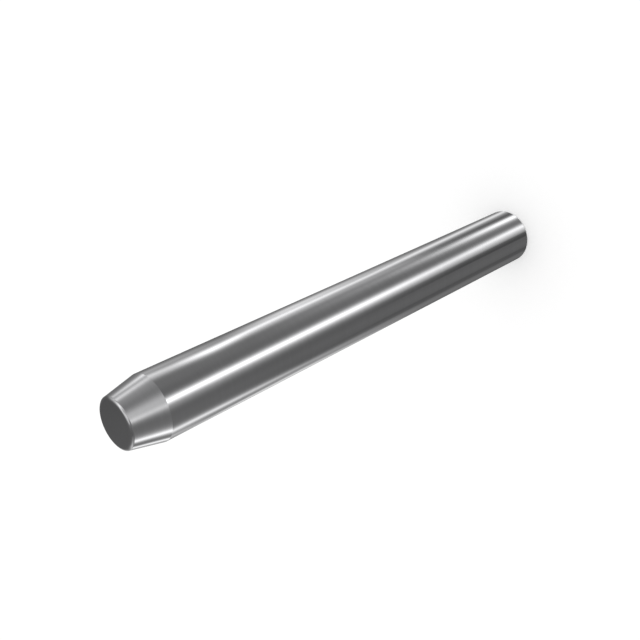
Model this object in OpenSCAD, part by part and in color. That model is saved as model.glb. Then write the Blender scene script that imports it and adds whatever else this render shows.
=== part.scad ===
// Taper lock stud: one turned and ground steel bar with a parallel shank,
// a short tapered nose and a small bevel round each end face.
// It stands on its plain end: origin at the centre of that face, +Z towards the tip.

/* [Shank] */
// Diameter of the parallel shank
shank_d = 20; // [17:0.5:40]
// Overall length, from the plain end face to the tip face
stud_len = 180; // [60:5:400]

/* [Tapered nose] */
// Length of the nose, from the end of the shank to the tip face
nose_len = 10.9; // [4:0.1:40]
// Diameter that the taper runs down to at the tip face, before its bevel
tip_d = 15.2; // [8:0.1:16]

/* [Edge bevels] */
// Width of the 45 degree bevel round the tip face
tip_bevel = 0.6; // [0.2:0.1:2]
// Width of the 45 degree bevel round the plain end face
plain_bevel = 0.6; // [0.2:0.1:2]

/* [Hidden] */
$fn = 180;

shank_r = shank_d / 2;
tip_r = tip_d / 2;
nose_z = stud_len - nose_len;           // where the shank ends and the nose starts
bevel_z = stud_len - tip_bevel;         // where the nose ends and the tip bevel starts

// Radius of the nose at a height above the plain end face
function nose_r(z) = tip_r + (shank_r - tip_r) * (stud_len - z) / nose_len;

// Half section of the stud: x is the radius and y is the height
module half_section() {
    polygon([
        [0, 0],
        [shank_r - plain_bevel, 0],
        [shank_r, plain_bevel],
        [shank_r, nose_z],
        [nose_r(bevel_z), bevel_z],
        [nose_r(bevel_z) - tip_bevel, stud_len],
        [0, stud_len]
    ]);
}

// The whole stud, turned from one bar
module stud() {
    color([0.62, 0.62, 0.63])
        rotate_extrude() half_section();
}

stud();
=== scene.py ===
"""The looks of the taper lock stud: polished ground steel on white paper.

The stud stands on its plain end, as in the CAD model, and the camera looks down past its nose.
The steel mirrors a dark dome with strip lights, which nothing else sees.
"""
import math

import bpy
import numpy as np
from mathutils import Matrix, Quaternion, Vector


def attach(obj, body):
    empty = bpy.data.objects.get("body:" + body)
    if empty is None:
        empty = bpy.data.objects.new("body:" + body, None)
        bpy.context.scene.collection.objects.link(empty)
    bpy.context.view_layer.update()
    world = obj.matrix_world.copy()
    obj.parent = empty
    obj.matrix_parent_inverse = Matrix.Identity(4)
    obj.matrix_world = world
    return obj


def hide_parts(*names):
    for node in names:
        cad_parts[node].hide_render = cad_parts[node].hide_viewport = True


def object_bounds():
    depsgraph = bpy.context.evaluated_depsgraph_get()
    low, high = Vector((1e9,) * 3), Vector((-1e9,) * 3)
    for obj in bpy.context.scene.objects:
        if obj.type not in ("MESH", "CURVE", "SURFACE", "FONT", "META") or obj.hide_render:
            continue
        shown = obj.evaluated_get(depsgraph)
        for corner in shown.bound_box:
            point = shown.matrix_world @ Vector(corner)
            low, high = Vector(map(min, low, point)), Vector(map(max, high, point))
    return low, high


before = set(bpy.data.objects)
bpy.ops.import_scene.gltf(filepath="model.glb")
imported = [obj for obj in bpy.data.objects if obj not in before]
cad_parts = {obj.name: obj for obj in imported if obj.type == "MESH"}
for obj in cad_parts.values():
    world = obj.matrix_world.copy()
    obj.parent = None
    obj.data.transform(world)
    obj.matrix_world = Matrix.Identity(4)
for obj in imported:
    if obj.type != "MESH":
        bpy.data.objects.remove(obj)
cad_low, cad_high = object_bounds()

MM = 0.001

# Camera: on the -Y side, above the nose, rolled so that the stud runs up to the right
CAMERA_AT = Vector((0.0, -212.6, 279.0)) * MM
CAMERA_AIM = Vector((1.6, 0.0, 102.85)) * MM
CAMERA_ROLL = math.radians(-115.5)
CAMERA_FIELD = math.radians(40.0)
CAMERA_NEAR = 0.01
CAMERA_FAR = 50.0

# Shape of the turned piece
EDGE_ROUND = 0.12 * MM       # radius left on each turned edge
TIP_ROUND = 1.9 * MM         # radius between the tip face and its bevel
EDGE_STEPS = 8               # rings across each rounded edge
ROUND_STEPS = 256            # faces round the stud
RING_GAP = 6 * MM            # longest step along a straight stretch
ALIGNED = 1e-10              # square metres: three points that span less lie in line
HEIGHT_DIGITS = 6            # heights are rounded to a micrometre, so that a ring shares one
ON_AXIS = 0.01 * MM          # a ring of a smaller radius is one point on the axis

# Steel
STEEL_DARK = (0.600, 0.600, 0.608, 1.0)
STEEL_LIGHT = (0.640, 0.640, 0.652, 1.0)
GRIND_DEPTH = 0.8e-6         # metres of height for one unit of the grinding noise
GRIND_LINES = {"patch": 9 * MM, "pitch": 0.22 * MM, "detail": 2.0}
GRIND_BANDS = {"patch": 40 * MM, "pitch": 1.6 * MM, "detail": 3.0}
GRIND_FALL = 0.6             # how strong each finer layer of the grinding noise is
SMUDGES = {"Scale": 70.0, "Detail": 4.0, "Distortion": 0.8}
TINT_RANGE = (1.1, 1.9)      # sum of the three noises, from dark to light steel
# Two maps from a noise to roughness, which add up: (noise from, to, roughness from, to)
MATT_SMUDGES = (0.4, 0.7, 0.085, 0.12)
MATT_GRAIN = (0.7, 1.3, 0.0, 0.02)
MIX_FACTOR, MIX_DARK, MIX_LIGHT, MIX_RESULT = 0, 6, 7, 2     # colour sockets of the Mix node

# Room
FLOOR_HALF = 12.0
PAPER = (0.86, 0.86, 0.86, 1.0)
PAPER_GLOW = 0.3             # share of the floor's white that no shadow takes away
WHITE = (1.0, 1.0, 1.0, 1.0)
SKY_LIGHT = 0.82             # strength of the white sky as a light. It is seen at a strength of 1.
LAMP_SIZE = 3.0
LAMP_WATTS = 8.0
LAMP_AT = Vector((0.8, -0.6, 3.0))

# Dome of dark cloth and strip lights, which the steel mirrors. It is far off, so that a place on
# it is a direction from the stud: elevation, and azimuth from -Y, positive towards +X, in degrees.
DOME_RADIUS = 5.0
DOME_STEP = 1.0              # degrees between its points
CLOTH = 0.13                 # tone of the dark cloth
GLOW_POWER = 3               # how quickly a light falls off past its width
# The strips fade out between these two elevations, so that the foot has a dark edge at the floor
STRIPS_FULL = -63
STRIPS_END = -75

# Each light is a strip up the dome, given by keys of (elevation, azimuth, width, strength)
LIGHTS = {
    "front": [
        (-54, 8, 16, 1.3), (-49, 4, 17, 1.05), (-42, 0, 17, 1.8), (-28, -5, 15, 2.1),
        (-2, -15, 16, 0.5), (8, -14, 16, 1.1), (55, -14, 24, 0)],
    "front fill": [
        (-54, -6, 22, 0.5), (-40, -16, 17, 0.12), (-28, -24, 20, 0.15), (10, -25, 22, 0)],
    "middle": [
        (-25, 8, 36, 0), (-3, 6, 33, 0.52), (60, 8, 50, 0.6), (76, 8, 60, 0.45), (84, 8, 80, 0)],
    "foot": [
        (-54, 64, 18, 1.85), (-49, 61, 20, 0.55), (-45, 61, 22, 0.2), (-35, 61, 30, 0)],
    "right": [
        (-54, 124, 24, 0.95), (-50, 115, 22, 1), (-44, 102, 16, 0.95), (-35, 99, 18, 1.25),
        (-32, 91, 20, 1.8), (-29, 97, 19, 0.75), (-15, 110, 15, 1.4), (-9, 109, 16, 0.4),
        (36, 130, 20, 0.3), (52, 138, 24, 0)],
    "right shoulder": [
        (-50, 124, 26, 0), (-38, 122, 25, 0.88), (-33, 122, 26, 0.2), (-28, 125, 24, 0.38),
        (-9, 126, 26, 0)],
    "right side": [
        (-49, 84, 16, 0), (-46, 82, 16, 0.27), (-20, 86, 18, 0.25), (-9, 88, 17, 0.75),
        (20, 85, 18, 1.1), (44, 118, 34, 0.42), (60, 106, 60, 1.3), (76, 145, 85, 0.7),
        (90, 145, 900, 0.75)],
    "right back": [(-30, 172, 22, 0), (-12, 170, 20, 0.25), (8, 160, 18, 0)],
    "right back haze": [(-42, 145, 40, 0.06), (-5, 140, 38, 0)],
    "left": [
        (-54, -125, 40, 0.05), (-46, -128, 40, 0.11), (-37, -115, 16, 0.33), (-31, -112, 15, 0.85),
        (-12, -99, 14, 1.4), (5, -98, 16, 1), (40, -104, 22, 0)],
    "left side": [
        (-38, -112, 30, 0), (-28, -112, 34, 0.25), (-9, -89, 26, 0.22), (30, -94, 34, 0)],
    "left back": [
        (-46, -158, 24, 0), (-37, -149, 26, 0.8), (-32, -152, 20, 0.85), (-27, -161, 32, 0.27),
        (-12, -168, 22, 0.55), (2, -157, 16, 0.35), (14, -157, 18, 0)],
    "left edge": [
        (-30, -137, 16, 0), (-20, -139, 12, 1.35), (-5, -139, 14, 1), (14, -141, 15, 0.6),
        (30, -138, 21, 0.6), (56, -116, 34, 0)],
    "left haze": [(-40, -65, 40, 0.04), (0, -60, 50, 0.06)],
    "right haze": [(-28, 50, 48, 0.08), (-8, 66, 44, 0.2)],
}
# Each flag is a black card, given by keys of (elevation, azimuth, half width, share of the light
# that it takes)
FLAGS = {
    "front": [(-50, -29, 8, 0.45), (-41, -34, 8, 0)],
    "left": [(-44, -98, 9, 0.25), (-35, -100, 6, 0)],
    "face": [(14, 160, 18, 0), (24, 160, 18, 0.15), (56, 160, 18, 0)],
    "foot": [(-54, 85, 7, 0.4), (-46, 87, 6, 0)],
}
FLAG_EDGE = 4                # degrees over which a flag's edge fades


def add_object(name, mesh):
    made = bpy.data.objects.new(name, mesh)
    bpy.context.scene.collection.objects.link(made)
    return made


def aim(made, target):
    made.rotation_mode = "QUATERNION"
    made.rotation_quaternion = (target - made.location).to_track_quat("-Z", "Y")


def make_camera():
    camera = add_object("camera", bpy.data.cameras.new("camera"))
    camera.data.angle = CAMERA_FIELD
    camera.data.clip_start = CAMERA_NEAR
    camera.data.clip_end = CAMERA_FAR
    camera.location = CAMERA_AT
    aim(camera, CAMERA_AIM)
    camera.rotation_quaternion @= Quaternion((0, 0, 1), CAMERA_ROLL)
    bpy.context.scene.camera = camera


# ---------------------------------------------------------------- shape

def corner_profile(node_name):
    """The corners of a turned CAD node as (radius, height) pairs, from the bottom up."""
    widest = {}
    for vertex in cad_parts[node_name].data.vertices:
        height = round(vertex.co.z, HEIGHT_DIGITS)
        radius = math.hypot(vertex.co.x, vertex.co.y)
        widest[height] = max(radius, widest.get(height, 0.0))
    rings = [Vector((radius, height)) for height, radius in sorted(widest.items())]
    corners = [rings[0]]
    for here, after in zip(rings[1:], rings[2:]):
        if abs((here - corners[-1]).cross(after - here)) > ALIGNED:
            corners.append(here)
    return [*corners, rings[-1]]


def outward(start, end):
    """The normal of a stretch of the profile, as it is walked from the bottom up."""
    along = (end - start).normalized()
    return Vector((along.y, -along.x))


def rounded_profile(corners):
    """Pairs of point and normal up the profile, from axis to axis. Each corner is a small arc."""
    path = [Vector((0.0, corners[0].y)), *corners, Vector((0.0, corners[-1].y))]
    profile = [(path[0], outward(path[0], path[1]))]

    def stretch_to(end, normal):
        start = profile[-1][0]
        steps = max(1, math.ceil((end - start).length / RING_GAP))
        for step in range(1, steps):
            profile.append((start.lerp(end, step / steps), normal))

    for before, corner, after in zip(path, path[1:], path[2:]):
        normal_in, normal_out = outward(before, corner), outward(corner, after)
        radius = TIP_ROUND if corner is corners[-1] else EDGE_ROUND
        reach = radius * math.tan(normal_in.angle(normal_out) / 2)
        start = corner + (before - corner).normalized() * reach
        centre = start - normal_in * radius
        stretch_to(start, normal_in)
        for step in range(EDGE_STEPS + 1):
            normal = normal_in.lerp(normal_out, step / EDGE_STEPS).normalized()
            profile.append((centre + normal * radius, normal))
    normal_last = outward(path[-2], path[-1])
    stretch_to(path[-1], normal_last)
    profile.append((path[-1], normal_last))
    return profile


def turned_piece(name, profile):
    """A solid of revolution about Z with exact normals."""
    vertices, normals, faces, rings = [], [], [], []
    for point, normal in profile:
        count = ROUND_STEPS if point.x > ON_AXIS else 1
        rings.append((len(vertices), count))
        for step in range(count):
            turn = 2 * math.pi * step / ROUND_STEPS
            vertices.append((point.x * math.cos(turn), point.x * math.sin(turn), point.y))
            normals.append((normal.x * math.cos(turn), normal.x * math.sin(turn), normal.y))
    for (low, low_count), (high, high_count) in zip(rings, rings[1:]):
        for step in range(ROUND_STEPS):
            after = (step + 1) % ROUND_STEPS
            if low_count == 1:
                faces.append((low, high + after, high + step))
            elif high_count == 1:
                faces.append((low + step, low + after, high))
            else:
                faces.append((low + step, low + after, high + after, high + step))
    mesh = bpy.data.meshes.new(name)
    mesh.from_pydata(vertices, [], faces)
    mesh.polygons.foreach_set("use_smooth", [True] * len(faces))
    mesh.normals_split_custom_set_from_vertices(normals)
    mesh.update()
    return add_object(name, mesh)


# ---------------------------------------------------------------- materials

def new_tree(owner):
    """An empty node tree in a material or world."""
    owner.use_nodes = True
    owner.node_tree.nodes.clear()
    return owner.node_tree


def node(tree, kind, inputs, **settings):
    """A node with each given input set, or linked where the value is a socket."""
    made = tree.nodes.new(kind)
    for key, value in settings.items():
        setattr(made, key, value)
    for key, value in inputs.items():
        if isinstance(value, bpy.types.NodeSocket):
            tree.links.new(value, made.inputs[key])
        else:
            made.inputs[key].default_value = value
    return made


def math_node(tree, operation, first, second, clamp=False):
    settings = {"operation": operation, "use_clamp": clamp}
    return node(tree, "ShaderNodeMath", {0: first, 1: second}, **settings).outputs[0]


def vector_math(tree, operation, first, second):
    return node(tree, "ShaderNodeVectorMath", {0: first, 1: second}, operation=operation)


def remap(tree, value, low, high, to_low, to_high):
    limits = {"From Min": low, "From Max": high, "To Min": to_low, "To Max": to_high}
    return node(tree, "ShaderNodeMapRange", {"Value": value, **limits}).outputs["Result"]


def ring_noise(tree, place, tool_path, patch, pitch, detail):
    """Noise drawn out round the stud: lines a pitch apart along the tool's path, a patch long."""
    across = vector_math(tree, "MULTIPLY", place, (1 / patch, 1 / patch, 0.0)).outputs[0]
    line = math_node(tree, "DIVIDE", tool_path, pitch)
    along = node(tree, "ShaderNodeCombineXYZ", {"Z": line}).outputs[0]
    where = vector_math(tree, "ADD", across, along).outputs[0]
    settings = {"Vector": where, "Scale": 1.0, "Detail": detail, "Roughness": GRIND_FALL}
    return node(tree, "ShaderNodeTexNoise", settings).outputs["Fac"]


def ground_steel():
    """Polished ground steel: fine lines round the stud and across its ends, and faint smudges."""
    material = bpy.data.materials.new("ground_steel")
    tree = new_tree(material)
    place = node(tree, "ShaderNodeTexCoord", {}).outputs["Object"]
    height = node(tree, "ShaderNodeSeparateXYZ", {0: place}).outputs["Z"]
    flat = vector_math(tree, "MULTIPLY", place, (1.0, 1.0, 0.0)).outputs[0]
    radius = vector_math(tree, "LENGTH", flat, (0.0, 0.0, 0.0)).outputs["Value"]
    tool_path = math_node(tree, "SUBTRACT", height, radius)
    lines = ring_noise(tree, place, tool_path, **GRIND_LINES)
    bands = ring_noise(tree, place, tool_path, **GRIND_BANDS)
    smudges = node(tree, "ShaderNodeTexNoise", {"Vector": place, **SMUDGES}).outputs["Fac"]

    grain = math_node(tree, "ADD", lines, bands)
    shade = remap(tree, math_node(tree, "ADD", grain, smudges), *TINT_RANGE, 0.0, 1.0)
    tones = {MIX_FACTOR: shade, MIX_DARK: STEEL_DARK, MIX_LIGHT: STEEL_LIGHT}
    tint = node(tree, "ShaderNodeMix", tones, data_type="RGBA").outputs[MIX_RESULT]
    matt_smudges = remap(tree, smudges, *MATT_SMUDGES)
    matt = math_node(tree, "ADD", matt_smudges, remap(tree, grain, *MATT_GRAIN))
    bump = node(tree, "ShaderNodeBump", {"Height": grain, "Distance": GRIND_DEPTH, "Strength": 1.0})
    looks = {"Base Color": tint, "Metallic": 1.0, "Roughness": matt, "Normal": bump.outputs[0]}
    shader = node(tree, "ShaderNodeBsdfPrincipled", looks)
    node(tree, "ShaderNodeOutputMaterial", {"Surface": shader.outputs[0]})
    return material


def seen_directly(tree):
    """1 on the rays that show the white background: from the camera, mirrored or through glass."""
    rays = node(tree, "ShaderNodeLightPath", {})
    seen = math_node(tree, "ADD", rays.outputs["Is Camera Ray"], rays.outputs["Is Glossy Ray"])
    return math_node(tree, "ADD", seen, rays.outputs["Is Transmission Ray"], clamp=True)


# ---------------------------------------------------------------- studio

def make_floor():
    """The white paper that the stud stands on. The steel mirrors the dome in its place."""
    mesh = bpy.data.meshes.new("floor")
    square = [(-1, -1), (1, -1), (1, 1), (-1, 1)]
    corners = [(x * FLOOR_HALF, y * FLOOR_HALF, cad_low.z) for x, y in square]
    mesh.from_pydata(corners, [], [(0, 1, 2, 3)])
    material = bpy.data.materials.new("floor_paper")
    tree = new_tree(material)
    glow = math_node(tree, "MULTIPLY", seen_directly(tree), PAPER_GLOW)
    paper = node(tree, "ShaderNodeBsdfDiffuse", {"Color": PAPER})
    light = node(tree, "ShaderNodeEmission", {"Color": WHITE, "Strength": glow})
    both = node(tree, "ShaderNodeAddShader", {0: paper.outputs[0], 1: light.outputs[0]})
    node(tree, "ShaderNodeOutputMaterial", {"Surface": both.outputs[0]})
    mesh.materials.append(material)
    floor = add_object("floor", mesh)
    floor.visible_glossy = False


def make_world():
    """A plain white sky: the background, and the floor's light. Mirror rays meet the dome first."""
    world = bpy.data.worlds.new("studio")
    bpy.context.scene.world = world
    tree = new_tree(world)
    strength = remap(tree, seen_directly(tree), 0.0, 1.0, SKY_LIGHT, 1.0)
    sky = node(tree, "ShaderNodeBackground", {"Color": WHITE, "Strength": strength})
    node(tree, "ShaderNodeOutputWorld", {"Surface": sky.outputs[0]})


def make_lamp():
    """A large soft box, high on the camera's side."""
    light = bpy.data.lights.new("softbox", "AREA")
    light.shape = "DISK"
    light.size = LAMP_SIZE
    light.energy = LAMP_WATTS
    lamp = add_object("softbox", light)
    lamp.location = LAMP_AT
    lamp.visible_glossy = False
    aim(lamp, Vector((0.0, 0.0, 0.0)))


def follow_keys(keys, elevation):
    """What the keys give at these elevations. Past its own elevation, an end key holds."""
    key_elevations, *columns = np.array(keys, dtype=float).T
    return [np.interp(elevation, key_elevations, column) for column in columns]


def degrees_apart(azimuth, middle):
    """The angle between two azimuths, the short way round."""
    return np.abs((azimuth - middle + 180) % 360 - 180)


def dome_tone(azimuth, elevation):
    """The tone of the dome: cloth and lights, darkened by the flags."""
    tone = np.full_like(azimuth, CLOTH)
    lit = np.clip((elevation - STRIPS_END) / (STRIPS_FULL - STRIPS_END), 0, 1)
    for keys in LIGHTS.values():
        middle, width, strength = follow_keys(keys, elevation)
        off_middle = degrees_apart(azimuth, middle) / width
        tone += lit * strength / (1 + off_middle ** 2) ** GLOW_POWER
    for keys in FLAGS.values():
        middle, half_width, share = follow_keys(keys, elevation)
        past = np.clip((degrees_apart(azimuth, middle) - half_width) / FLAG_EDGE, 0, 1)
        tone *= 1 - share * (1 - past * past * (3 - 2 * past))
    return tone


def dome_points(azimuth, elevation):
    """Where these directions meet the dome, which is centred on the stud."""
    turn, rise = np.radians(azimuth), np.radians(elevation)
    across = DOME_RADIUS * np.cos(rise)
    height = (cad_low.z + cad_high.z) / 2 + DOME_RADIUS * np.sin(rise)
    return np.stack([across * np.sin(turn), -across * np.cos(turn), height], axis=-1)


def make_dome():
    """The dome that the steel mirrors, below the floor's level too. Nothing else sees it."""
    turns = np.arange(-180.0, 180.0, DOME_STEP)
    rises = np.arange(-90.0, 90.0 + DOME_STEP, DOME_STEP)
    elevation, azimuth = np.meshgrid(rises, turns, indexing="ij")
    count = len(turns)
    faces = [
        (row + col, row + (col + 1) % count, row + count + (col + 1) % count, row + count + col)
        for row in range(0, elevation.size - count, count)
        for col in range(count)
    ]
    mesh = bpy.data.meshes.new("dome")
    mesh.from_pydata(dome_points(azimuth, elevation).reshape(-1, 3).tolist(), [], faces)
    glow = mesh.attributes.new("glow", "FLOAT", "POINT")
    glow.data.foreach_set("value", dome_tone(azimuth, elevation).ravel())
    material = bpy.data.materials.new("dome_cloth")
    tree = new_tree(material)
    tone = node(tree, "ShaderNodeAttribute", {}, attribute_name="glow")
    light = node(tree, "ShaderNodeEmission", {"Color": tone.outputs["Color"], "Strength": 1.0})
    node(tree, "ShaderNodeOutputMaterial", {"Surface": light.outputs[0]})
    mesh.materials.append(material)
    dome = add_object("dome", mesh)
    dome.visible_camera = False
    dome.visible_diffuse = False
    dome.visible_transmission = False
    dome.visible_volume_scatter = False
    dome.visible_shadow = False


make_camera()
stud = turned_piece("steel_stud", rounded_profile(corner_profile("stud")))
stud.data.materials.append(ground_steel())
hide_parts("stud")
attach(stud, "root")
make_floor()
make_world()
make_lamp()
make_dome()
bpy.context.scene.view_settings.view_transform = "Standard"
